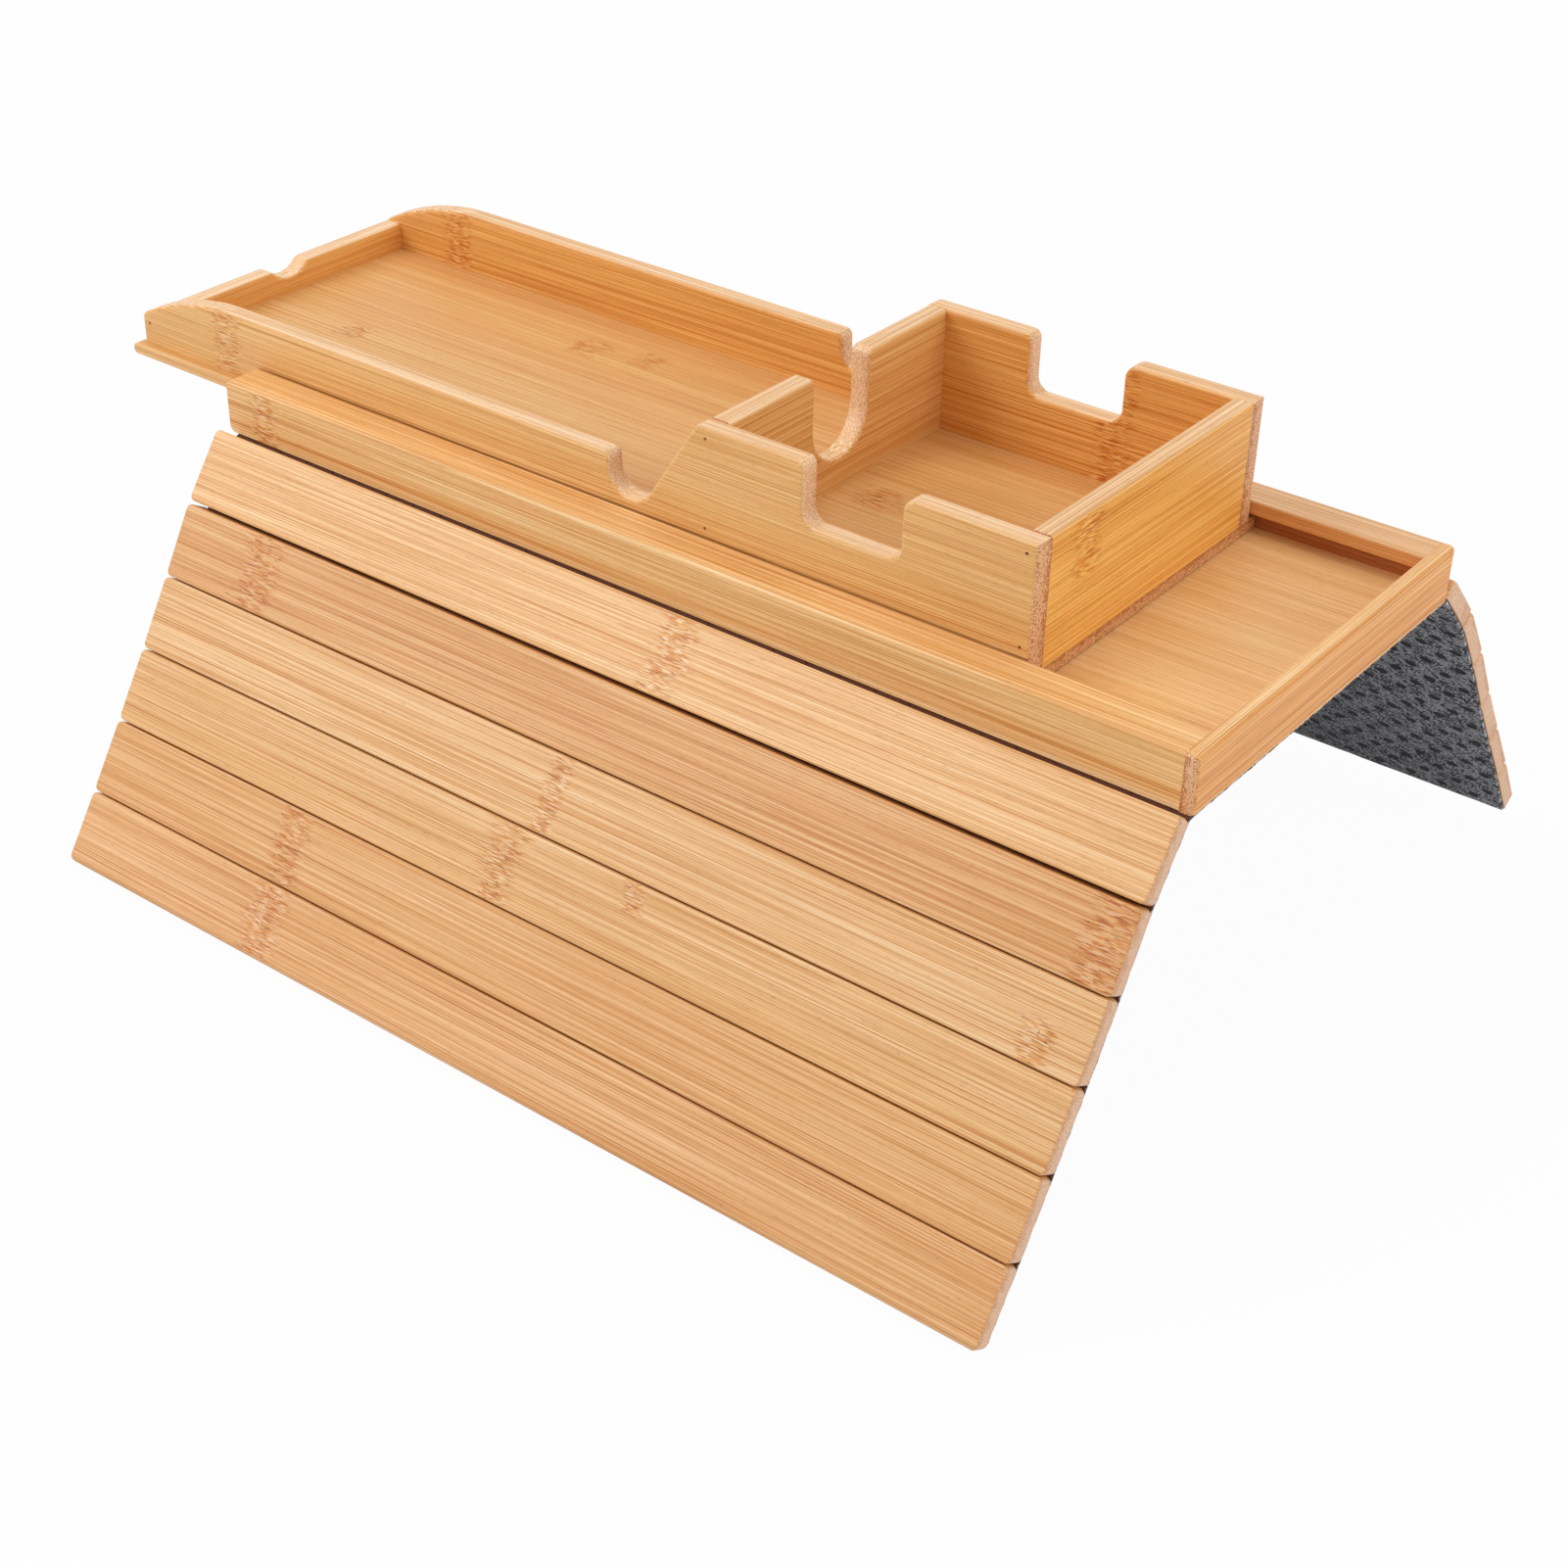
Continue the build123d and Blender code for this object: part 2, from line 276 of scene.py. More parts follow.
@dataclass
class Board:
    """One board: where its fibres run, how it is toned, its knuckles and its marks.

    Its marks are painted light and shade, at heights in mm: a thin line of painted shade on
    the face, painted light on the face's foot, and painted shade low down, which spares only
    the lip's front edge.
    """

    node: str
    face: tuple
    edge: tuple
    end: tuple
    seed: int
    grain: Vector = field(default_factory=X.copy)
    knuckles: tuple = ()
    dark_lines: float = 1.0
    pale_lines: float = 1.0
    end_dots: float = 1.0
    strip_width: float = 400.0
    crevice_shade_at: float | None = None
    painted_light_foot: float | None = None
    groove_shade_top: float | None = None


def broad_face(mesh):
    """The direction that most of the board's surface faces."""
    area, example = {}, {}
    for polygon in mesh.polygons:
        direction = tuple(round(abs(part), 2) for part in polygon.normal)
        area[direction] = area.get(direction, 0.0) + polygon.area
        example[direction] = polygon.normal.copy()
    return example[max(area, key=area.get)]


def span(mesh, axis):
    """The lowest and the highest place of a mesh along an axis, in mm."""
    places = [vertex.co.dot(axis) / MM for vertex in mesh.vertices]
    return min(places), max(places)


first_slat = nodes["front_slat_1"].data
print("the first slat faces", [round(c, 2) for c in broad_face(first_slat)])
print("and reaches from", [round(c, 1) for c in span(first_slat, X)], "mm")

# %% [markdown]
# ## Fibres
#
# Sawn bamboo is made of stiff fibres in softer pith, so it shows straight lines that run the
# whole board, a third of a millimetre to a millimetre apart. The same fibres, cut across, are
# dots in the end grain. Lines could be painted on a flat picture and wrapped round the board,
# but they would not meet at the edges. A noise that is stretched hundreds of times along the
# grain fills the whole solid, so it gives both at once: lines on the long faces and speckles
# on the ends.

# %% Find a place in the grain
SEED_STEP = 7.3
READING_STEP = 11.7


class Grain:
    """Places in a board in mm: u along its fibres, v across its face, w through it."""

    def __init__(self, finish, board, mesh):
        out = broad_face(mesh)
        across = out.cross(board.grain).normalized()
        place = finish.node("ShaderNodeTexCoord", output="Object")
        facing = finish.node("ShaderNodeTexCoord", output="Normal")
        axes = (board.grain, across, out)
        self.finish = finish
        self.u, self.v, self.w = [finish.dot(place, axis) / MM for axis in axes]
        self.height = finish.dot(place, Vector((0, 0, 1))) / MM
        self.on_end, self.on_edge = [abs(finish.dot(facing, axis)) for axis in axes[:2]]
        back, front = span(mesh, out)
        self.depth = (self.w - back) / (front - back)
        start, end = span(mesh, board.grain)
        self.from_end = finish.math("MINIMUM", self.u - start, end - self.u)
        self.offset = board.seed * SEED_STEP

    def read(self, length, width, detail=0.0):
        """A new noise, stretched to this length along the fibres and this width across."""
        self.offset += READING_STEP
        place = (self.u / length + self.offset, self.v / width + self.offset, self.w / width)
        return self.finish.noise(self.finish.joined(*place), detail)


print("boards differ by", SEED_STEP, "in the noise and readings by", READING_STEP)


# %% Describe the streaks that fibres make
@dataclass
class Streaks:
    """Streaks in the wood, from a noise that is stretched to a length and a width in mm.

    They begin where the noise is low and are full where it is high. There the tint scales
    the colour by its share, and the relief says how far they stand out.
    """

    length: float
    width: float
    low: float
    high: float
    tint: tuple
    share: float = 1.0
    detail: float = 0.0
    relief: float = 0.0


CLOUDS = (
    Streaks(420.0, 7.0, 0.44, 0.62, tint=(0.95, 0.86, 0.70), share=0.30, detail=1.0),
    Streaks(300.0, 4.0, 0.52, 0.70, tint=(1.00, 1.05, 1.12), share=0.35, detail=1.0),
)
BOLD_LINES = Streaks(240.0, 0.66, 0.61, 0.65, tint=(0.85, 0.70, 0.47), share=0.80)
FINE_LINES = Streaks(130.0, 0.47, 0.54, 0.57, tint=(0.81, 0.67, 0.45), share=0.80, relief=-0.4)
HAIR_LINES = Streaks(90.0, 0.34, 0.52, 0.56, tint=(0.84, 0.71, 0.50), share=0.70)
PALE_LINES = Streaks(110.0, 0.42, 0.56, 0.59, tint=(1.08, 1.22, 1.46), relief=0.2)
FUZZ = Streaks(14.0, 0.24, 0.50, 0.70, tint=(0.84, 0.72, 0.56), share=0.4, detail=1.0, relief=0.3)
PORES = Streaks(3.5, 0.26, 0.74, 0.80, tint=(0.66, 0.50, 0.36), share=0.60, relief=-0.6)


def find_streaks(grain, streaks):
    """The noise behind these streaks, and where they run."""
    level = grain.read(streaks.length, streaks.width, streaks.detail)
    return level, grain.finish.step(level, streaks.low, streaks.high)


def add_streaks(grain, colour, streaks, where=1.0):
    """The colour with these streaks in it, and where they run."""
    mask = find_streaks(grain, streaks)[1]
    return grain.finish.tint(mask * (streaks.share * where), colour, *streaks.tint), mask


print("the boldest fibres are about", BOLD_LINES.width, "mm apart")

# %% Lay the fibres over a board's own tone
STRIP_PHASE = 0.37
STRIP_TINT = (0.97, 0.90, 0.80)
STRIP_SHARE = 0.8


def add_strips(grain, board, colour):
    """Glued strips that differ a little in tone, and broad clouds along the board."""
    finish = grain.finish
    strip = finish.math("FLOOR", grain.v / board.strip_width + STRIP_PHASE)
    settings = {"noise_dimensions": "1D"}
    lot = finish.node("ShaderNodeTexWhiteNoise", settings, {"W": strip + board.seed})
    colour = finish.tint(lot * STRIP_SHARE, colour, *STRIP_TINT)
    for cloud in CLOUDS:
        colour, _ = add_streaks(grain, colour, cloud)
    return colour


def add_fibres(grain, board, colour):
    """The colour with lines, fuzz and pores, the fuzz itself, and how high all of it stands."""
    colour, _ = add_streaks(grain, colour, BOLD_LINES, board.dark_lines)
    colour, fine = add_streaks(grain, colour, FINE_LINES, board.dark_lines)
    colour, _ = add_streaks(grain, colour, HAIR_LINES, board.dark_lines)
    colour, pale = add_streaks(grain, colour, PALE_LINES, board.pale_lines)
    fuzz, fuzzy = find_streaks(grain, FUZZ)
    colour = grain.finish.tint(fuzzy * FUZZ.share, colour, *FUZZ.tint)
    colour, pores = add_streaks(grain, colour, PORES)
    lines = fine * FINE_LINES.relief + pale * PALE_LINES.relief
    height = lines + fuzz * FUZZ.relief + pores * PORES.relief
    return colour, fuzz, height


print("strips start", STRIP_PHASE, "of their width from the middle")

# %% [markdown]
# ## Knuckles
#
# A bamboo stem is closed by a ring every hand's breadth. Sawn through, the ring is a band
# across the board, where fibres swerve, darken and break into flecks and pits. It could be a
# picture laid on the board, but it has to follow the fibres. So the distance to the ring is
# worked out along the grain and made to wander, and it then says how strongly the torn
# streaks and the pits show.

# %% Find the knuckles of a board
KNUCKLE_HALF_WIDTH = 4.4
KNUCKLE_FADE = 4.0
SLOW_WANDER = 7.0
QUICK_WANDER = 12.0
SOLID_SHARE = 0.6
OFF_FACE = (0.3, 0.7)


def near_knuckles(grain, board):
    """How close a point is to a knuckle: 1 on it, 0 away from it."""
    finish = grain.finish
    slow = (grain.read(length=400.0, width=6.0, detail=1.0) - 0.5) * SLOW_WANDER
    quick = (grain.read(length=30.0, width=0.5) - 0.5) * QUICK_WANDER
    wander = slow + quick
    on_face = 1.0 - finish.step(grain.on_edge, *OFF_FACE)
    near = None
    for knuckle in board.knuckles:
        low = KNUCKLE_HALF_WIDTH * knuckle.size
        distance = abs(grain.u - knuckle.along + wander * knuckle.size)
        band = 1.0 - finish.step(distance, low, low + KNUCKLE_FADE * knuckle.size)
        aside = abs(grain.v - knuckle.across)
        edge = knuckle.half_width
        in_strip = 1.0 - finish.step(aside, edge * SOLID_SHARE, edge)
        band = band * on_face * in_strip
        near = band if near is None else finish.math("MAXIMUM", near, band)
    return near


print("knuckles are", 2 * KNUCKLE_HALF_WIDTH, "mm wide before they fade")

# %% Tear the fibres at the knuckles
WARM_TINT = (0.97, 0.87, 0.68)
WARM_SHARE = 0.6
DARK_PATCHES = Streaks(6.0, 1.7, 0.44, 0.58, tint=(0.90, 0.72, 0.46), detail=1.0)
TORN_FIBRES = Streaks(4.0, 0.42, 0.55, 0.61, tint=(0.74, 0.56, 0.36))
SPLINTERS = Streaks(4.6, 0.44, 0.56, 0.61, tint=(1.04, 1.16, 1.40), share=0.8)
PITS = Streaks(1.1, 0.7, 0.79, 0.82, tint=(0.34, 0.18, 0.10))


def add_knuckles(grain, board, near, colour):
    """Warm tint, torn dark fibres, pale splinters and pits, where there is a knuckle.

    The splinters are clean wood, so they take the face's tone and not the knuckle's.
    """
    finish = grain.finish
    colour = finish.tint(near * WARM_SHARE, colour, *WARM_TINT)
    colour, _ = add_streaks(grain, colour, DARK_PATCHES, near)
    colour, _ = add_streaks(grain, colour, TORN_FIBRES, near)
    _, splinters = find_streaks(grain, SPLINTERS)
    clean = tuple(part * gain for part, gain in zip(board.face, (*SPLINTERS.tint, 1.0)))
    colour = finish.mix(near * splinters * SPLINTERS.share, colour, clean)
    colour, _ = add_streaks(grain, colour, PITS, near)
    return colour


print("splinters scale the face's tone by", SPLINTERS.tint)

# %% [markdown]
# ## Painted light and shade
#
# Three bands of light and shade are painted into the colour. A thin brown line of painted
# shade lies on the tray's front wall, where it meets the top of the rail's lip. The front
# rail's foot is painted paler, as painted light against the shade at the bottom of its face,
# and the inside of the back rail's groove is painted dark as shade. Such bands could be
# painted on by hand, but each lies at a known height of the model, so a height and a soft
# step are enough, and the band stays with the board when the tray slides. The groove's
# painted shade has a limit in depth at the lip's edge only. So it also darkens the rail's
# outer face at that height, which a second limit would keep clean.

# %% Add the painted light and shade at their heights
PLATFORM_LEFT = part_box("front_rail")[0][0] / MM
# Painted shade: a thin line on the front wall where it meets the top of the rail's lip.
CREVICE_SHADE_HALF_WIDTH = (0.24, 0.46)
CREVICE_SHADE_WAVE = 0.5
CREVICE_SHADE_SHARE = 0.7
CREVICE_SHADE_TINT = (0.36, 0.24, 0.16)
RAIL_FADE = 12.0
# Painted light: the front rail's foot is made paler, against the shade at the bottom of its face.
FOOT_LIGHT_FADE = 3.5
FOOT_LIGHT_TINT = (1.10, 1.36, 1.75)
# Painted shade: the back rail is dark low in its groove, and at that height on its outer face.
GROOVE_SHADE_FADE = 0.3
GROOVE_SHADE_DEPTH = (0.90, 0.95)
GROOVE_SHADE_TINT = (0.55, 0.34, 0.22)


def add_crevice_shade(grain, board, colour, edge_share):
    """A thin uneven line of painted shade on the wall, where it meets the top of the lip."""
    finish = grain.finish
    uneven = (grain.read(length=20.0, width=2.0, detail=1.0) - 0.5) * CREVICE_SHADE_WAVE
    off_line = abs(grain.height - board.crevice_shade_at) + uneven
    line = (1.0 - finish.step(off_line, *CREVICE_SHADE_HALF_WIDTH)) * (1.0 - edge_share)
    on_rail = finish.step(grain.u, PLATFORM_LEFT, PLATFORM_LEFT + RAIL_FADE)
    return finish.tint(line * on_rail * CREVICE_SHADE_SHARE, colour, *CREVICE_SHADE_TINT)


def add_painted_light_and_shade(grain, board, colour, edge_share):
    """The painted light and shade that this board has."""
    finish = grain.finish
    if board.crevice_shade_at is not None:
        colour = add_crevice_shade(grain, board, colour, edge_share)
    if board.painted_light_foot is not None:
        # Painted light on the lowest part of the face.
        foot = 1.0 - finish.step(grain.height, board.painted_light_foot - FOOT_LIGHT_FADE, board.painted_light_foot)
        colour = finish.tint(foot, colour, *FOOT_LIGHT_TINT)
    if board.groove_shade_top is not None:
        # Painted shade low in the groove, which spares only the lip's front edge.
        top = board.groove_shade_top
        low = 1.0 - finish.step(grain.height, top, top + GROOVE_SHADE_FADE)
        inside = low * (1.0 - finish.step(grain.depth, *GROOVE_SHADE_DEPTH))
        colour = finish.tint(inside, colour, *GROOVE_SHADE_TINT)
    return colour


print("the platform starts at", round(PLATFORM_LEFT, 1), "mm")

# %% [markdown]
# ## End grain and the whole finish
#
# Where a board is sawn across, the fibres are dark dots, closer together towards the stem's
# hard skin, and the saw leaves the wood browner than sandpaper does in the notches. The ends
# could have a material of their own, but rounded corners would then show a seam. So one
# finish mixes from face to edge to end by the way that the surface faces.

# %% Show the fibres end on
SANDED_END = tone(243, 203, 160)
SAWN_WITHIN = (0.5, 2.0)
SANDED_DOTS = 0.6
DOT_LEVEL = (0.54, 0.60)
DOT_TINT = (0.56, 0.36, 0.22)
SKIN_DEPTH = (0.55, 0.85)
SKIN_WAVE = 0.8
SKIN_CROWDING = 0.12
SKIN_TINT = (0.90, 0.76, 0.62)
SKIN_SHARE = 0.6


def end_grain(grain, board):
    """Dots of cut fibres on sawn or sanded end grain."""
    finish = grain.finish
    bundles = grain.read(length=60.0, width=0.46)
    uneven = (grain.read(length=60.0, width=3.0) - 0.5) * SKIN_WAVE
    skin = finish.step(grain.depth + uneven, *SKIN_DEPTH)
    dots = finish.step(bundles + skin * SKIN_CROWDING, *DOT_LEVEL)
    sawn = 1.0 - finish.step(grain.from_end, *SAWN_WITHIN)
    end = finish.mix(sawn, SANDED_END, board.end)
    strength = SANDED_DOTS + (1.0 - SANDED_DOTS) * sawn
    end = finish.tint(dots * strength * board.end_dots, end, *DOT_TINT)
    return finish.tint(skin * sawn * SKIN_SHARE, end, *SKIN_TINT)


print("sawn ends are", SAWN_WITHIN[1], "mm deep, sanded ones lie further in")

# %% Put the bamboo finish together
SWERVE = 0.7
EDGE_FACING = (0.60, 0.86)
END_FACING = (0.50, 0.80)
KNUCKLE_RELIEF = 1.4
ROUGHNESS = 0.40
ROUGHNESS_SPREAD = 0.16
VARNISH = 0.10
VARNISH_ROUGHNESS = 0.3
GRAIN_STRENGTH = 0.4
GRAIN_DEPTH = 0.12 * MM


def bamboo(board):
    """The finish of one board."""
    material, finish = new_material("bamboo_" + board.node)
    grain = Grain(finish, board, nodes[board.node].data)
    near = near_knuckles(grain, board) if board.knuckles else None
    if near is not None:
        swerve = grain.read(length=8.0, width=5.0, detail=1.0) - 0.5
        grain.v = grain.v + swerve * near * SWERVE

    edge_share = finish.step(grain.on_edge, *EDGE_FACING)
    colour = finish.mix(edge_share, board.face, board.edge)
    colour = add_strips(grain, board, colour)
    colour, fuzz, height = add_fibres(grain, board, colour)
    if near is not None:
        colour = add_knuckles(grain, board, near, colour)
        torn = grain.read(length=2.0, width=0.5, detail=1.0)
        height = height + near * torn * KNUCKLE_RELIEF
    colour = add_painted_light_and_shade(grain, board, colour, edge_share)
    end_share = finish.step(grain.on_end, *END_FACING)
    colour = finish.mix(end_share, colour, end_grain(grain, board))
    finish.principled(
        base_color=colour,
        roughness=ROUGHNESS + fuzz * ROUGHNESS_SPREAD,
        coat_weight=VARNISH,
        coat_roughness=VARNISH_ROUGHNESS,
        normal=finish.bump(height, GRAIN_STRENGTH, GRAIN_DEPTH),
    )
    return material


def dress(boards):
    """Gives each board's node its bamboo."""
    for board in boards:
        material = bamboo(board)
        for slot in nodes[board.node].material_slots:
            slot.material = material


print("the grain stands", GRAIN_DEPTH / MM, "mm proud at most")

# %% [markdown]
# ## The platform's boards
#
# The platform is a floor between two rails with a lip each, and a thin rail across its right
# end. The four boards could share a tone, but in the picture each has its own, the end rail
# is the most orange, and knuckles sit at known places. So each gets its own line of
# description, and the seed gives it a pattern that no other board has.

# %% Finish the platform's boards
PALE_EDGE = tone(244, 207, 166)
BROWN_END = tone(236, 186, 140)
HONEY = tone(241, 193, 130)
AMBER = tone(243, 193, 131)
RAIL_KNUCKLES = (Knuckle(-182, 0.9), Knuckle(-3, 0.35, 14, 5), Knuckle(50, 0.3, 20, 5))
# The front rail's lowest 5.5 mm get painted light.
FRONT_RAIL = {"seed": 31, "knuckles": RAIL_KNUCKLES, "painted_light_foot": 5.5}
# The back rail is painted dark as shade up to 0.6 mm above the tray's floor.
ABOVE_TRAY_FLOOR = 0.6
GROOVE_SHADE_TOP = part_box("tray_floor")[1][2] / MM + ABOVE_TRAY_FLOOR
BACK_RAIL = {"seed": 3, "dark_lines": 0.7, "groove_shade_top": GROOVE_SHADE_TOP}
END_RAIL = {"seed": 4, "dark_lines": 1.2, "pale_lines": 1.7, "grain": Y}
PLATFORM_BOARDS = (
    Board("platform_floor", HONEY, PALE_EDGE, BROWN_END, seed=1, strip_width=21.0, dark_lines=0.5),
    Board("front_rail", tone(240, 194, 134), AMBER, BROWN_END, **FRONT_RAIL),
    Board("back_rail", tone(232, 176, 116), tone(234, 190, 142), BROWN_END, **BACK_RAIL),
    Board("end_rail", tone(246, 177, 98), tone(240, 190, 130), BROWN_END, **END_RAIL),
)
dress(PLATFORM_BOARDS)
print("platform boards dressed:", len(PLATFORM_BOARDS))

# %% [markdown]
# ## The tray's boards
#
# The tray has a floor, two long walls with notches, two end walls and a divider. The cross
# walls' fibres run from front to back, so their grain is Y. The same finish serves them all,
# because only tones, knuckles and the strength of the lines differ.

# %% Finish the tray's boards
# The front wall gets a thin line of painted shade just below the top of the lip.
BELOW_LIP_TOP = 0.3
LIP_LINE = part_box("front_rail")[1][2] / MM - BELOW_LIP_TOP
WALL = tone(236, 188, 123)
BACK_WALL = tone(235, 177, 99)
RIGHT_WALL = tone(254, 198, 105)
FLOOR_TONES = (tone(226, 173, 108), tone(236, 184, 122), tone(224, 168, 114))
FLOOR_KNUCKLES = (
    Knuckle(-208, 0.8, -12, 8),
    Knuckle(-130, 1.1, 33, 9),
    Knuckle(-104, 0.8, 38, 8),
    Knuckle(29, 1.2, 1, 9),
)
FLOOR = {"seed": 5, "strip_width": 17.0, "dark_lines": 0.6, "knuckles": FLOOR_KNUCKLES}
FRONT_WALL = {"seed": 6, "dark_lines": 0.8, "crevice_shade_at": LIP_LINE, "knuckles": (Knuckle(-216),)}
BACK_KNUCKLES = (Knuckle(-222), Knuckle(83))
RIGHT_END = {"seed": 10, "grain": Y, "knuckles": (Knuckle(-39, 1.1, 49, 14),)}
TRAY_BOARDS = (
    Board("tray_floor", *FLOOR_TONES, **FLOOR),
    Board("tray_front_wall", WALL, PALE_EDGE, BROWN_END, **FRONT_WALL),
    Board("tray_back_wall", BACK_WALL, PALE_EDGE, BROWN_END, seed=7, knuckles=BACK_KNUCKLES),
    Board("tray_left_end_wall", BACK_WALL, PALE_EDGE, BROWN_END, seed=8, grain=Y, dark_lines=0.6),
    Board("tray_divider", WALL, PALE_EDGE, BROWN_END, seed=9, grain=Y),
    Board("tray_right_end_wall", RIGHT_WALL, PALE_EDGE, BROWN_END, **RIGHT_END),
)
dress(TRAY_BOARDS)
print("tray boards dressed:", len(TRAY_BOARDS))

# %% [markdown]
# ## The slats
#
# Each flap has six slats, sawn from different stems. The second and the fifth are rosier, with
# weaker dark lines and stronger pale ones. The tones are listed from the platform down, and
# the back flap takes them in the other order, so that the two flaps don't repeat each other.
# Twelve hand-written boards would hide what the slats share, so a loop makes them.

# %% Finish the slats
def beside_the_middle(along, size, across, half_width):
    """One small knuckle, counted from both sides: a broad face may look in or out.

    Places across are counted from the middle of the whole tray, so one of the two lies on
    the slat and the other lies off it.
    """
    return tuple(Knuckle(along, size, sign * across, half_width) for sign in (1, -1))


FRONT_KNUCKLES = {
    1: (Knuckle(18),),
    2: (Knuckle(-157, 1.2), Knuckle(192, 1.1)),
    3: (Knuckle(-7, 0.6), *beside_the_middle(183, 0.8, 118.6, 9)),
    4: (Knuckle(-18), *beside_the_middle(36, 0.6, 131.0, 9)),
    5: (Knuckle(-104),),
    6: (Knuckle(-103, 1.1),),
}
SLAT_TONES = {
    1: tone(238, 193, 140),
    2: tone(223, 168, 111),
    3: tone(236, 194, 145),
    4: tone(232, 187, 133),
    5: tone(226, 174, 117),
    6: tone(231, 183, 132),
}
SLAT_END = tone(233, 189, 152)
BACK_KNUCKLE_START = -170
BACK_KNUCKLE_SHIFT = 61
BACK_KNUCKLE_RANGE = 340
ROSY_LINES = {"dark_lines": 0.9, "pale_lines": 1.0, "end_dots": 0.45}
PLAIN_LINES = {"dark_lines": 1.0, "pale_lines": 0.8, "end_dots": 0.45}


def back_knuckle(number):
    """The knuckle of a back slat, shifted from slat to slat so that no two line up."""
    return Knuckle(BACK_KNUCKLE_START + BACK_KNUCKLE_SHIFT * number % BACK_KNUCKLE_RANGE)


slats = []
for number in SLAT_TONES:
    lines = ROSY_LINES if number in (2, 5) else PLAIN_LINES
    marks = {"seed": 10 + number, "knuckles": FRONT_KNUCKLES[number], **lines}
    face = SLAT_TONES[number]
    slats.append(Board(f"front_slat_{number}", face, face, SLAT_END, **marks))
    marks = {"seed": 20 + number, "knuckles": (back_knuckle(number),), **lines}
    face = SLAT_TONES[7 - number]
    slats.append(Board(f"back_slat_{number}", face, face, SLAT_END, **marks))
dress(slats)
print("slats dressed:", len(slats))

# %% [markdown]
# ## The felt that hinges the flaps
#
# One sheet of dark felt is glued under the platform and inside both flaps. Nothing else joins
# the slats, so every fold between two slats is a hinge. The solids have a flat panel of felt
# for each slat, which can't bend, so here the sheet is a grid of points instead. A cloth
# simulation could drape it, but stretched felt has only one shape: straight where it is glued
# and round at the folds. It is cut in the middle of each slat, where the glue holds it flat,
# and each piece has one fold.

# %% Find the folds of the felt
SIDES = {"front": -1, "back": 1}
felt_low, felt_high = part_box("platform_felt")
FELT_THICKNESS = felt_high[2] - felt_low[2]
FELT_ENDS = (felt_low[0], felt_high[0])


def felt_line(side):
    """The felt's middle line, from the platform's centre over the six folds to the hem."""
    folds = [Vector(joints[f"{side}_hinge_{number}"]["pos_m"]) for number in range(1, 7)]
    out = broad_face(nodes[f"{side}_slat_6"].data)
    down = out.cross(X)
    if down.z > 0:
        down = -down
    last_panel = nodes[f"{side}_felt_6"].data.vertices
    reach = max((vertex.co - folds[-1]).dot(down) for vertex in last_panel)
    return [Vector((0, 0, folds[0].z))] + folds + [folds[-1] + down * reach]


for side in SIDES:
    print(side, "felt:", [(round(p.y / MM, 1), round(p.z / MM, 1)) for p in felt_line(side)])

# %% Round one fold
FOLD_RADIUS = 2.0 * MM
ROW_STEP = 3.0 * MM
DEGREES_PER_ROW = 5


def bent_strip(start, fold, end, radius):
    """Points along a line with one rounded corner, with the direction in which each one goes."""
    into, away = (fold - start).normalized(), (end - fold).normalized()
    turn = into.angle(away)
    trim = radius * math.tan(turn / 2)
    run_in = (fold - start).length - trim
    run_out = (end - fold).length - trim
    strip = []
    steps = max(2, round(run_in / ROW_STEP))
    for step in range(steps):
        strip.append((start + into * run_in * step / steps, into))
    steps = max(3, round(math.degrees(turn) / DEGREES_PER_ROW))
    side = (away - into * into.dot(away)).normalized()
    centre = start + into * run_in + side * radius
    for step in range(steps + 1):
        angle = turn * step / steps
        direction = into * math.cos(angle) + side * math.sin(angle)
        spoke = into * math.sin(angle) - side * math.cos(angle)
        strip.append((centre + spoke * radius, direction))
    steps = max(2, round(run_out / ROW_STEP))
    for step in range(1, steps + 1):
        strip.append((end - away * run_out * (1 - step / steps), away))
    return strip


corner = [Vector(place) * MM for place in ((0, 0, 0), (0, 9, 0), (0, 9, -9))]
print("a square corner takes", len(bent_strip(*corner, FOLD_RADIUS)), "points")

# %% Give the felt its two faces
FELT_COLUMNS = 99
EDGE_WAVE = 0.25 * MM
WAVE_LENGTH = 2.2 * MM
WAVE_PER_COLUMN = 3.1
PUFF = 0.06 * MM
PUFF_LENGTH = 9 * MM
CREASE = math.radians(50)


def felt_points(strip, sign, from_centre, loose_end):
    """Points on both faces of the felt, and the place of each on the flat sheet in mm.

    The two cut edges and the hem waver a little, and both faces are slightly puffed.
    """
    width = FELT_ENDS[1] - FELT_ENDS[0]
    half = FELT_THICKNESS / 2
    points, places = [], []
    travelled = from_centre
    previous = strip[0][0]
    for row, (point, direction) in enumerate(strip):
        travelled += (point - previous).length
        previous = point
        out = X.cross(direction) * sign
        at_hem = loose_end and row == len(strip) - 1
        for column in range(FELT_COLUMNS + 1):
            across = FELT_ENDS[0] + width * column / FELT_COLUMNS
            place = Vector((column * WAVE_PER_COLUMN, travelled / WAVE_LENGTH, sign))
            wave = noise.noise(place) * EDGE_WAVE
            if column in (0, FELT_COLUMNS):
                across += wave
            hem_wave = direction * wave if at_hem else Vector()
            for face in (1, -1):
                place = Vector((across, travelled, face * 0.01)) / PUFF_LENGTH
                puff = noise.noise(place) * PUFF
                offset = out * (face * half + puff) + hem_wave
                points.append(Vector((across, 0, 0)) + point + offset)
                places.append((across / MM, sign * travelled / MM, face * half / MM))
    return points, places


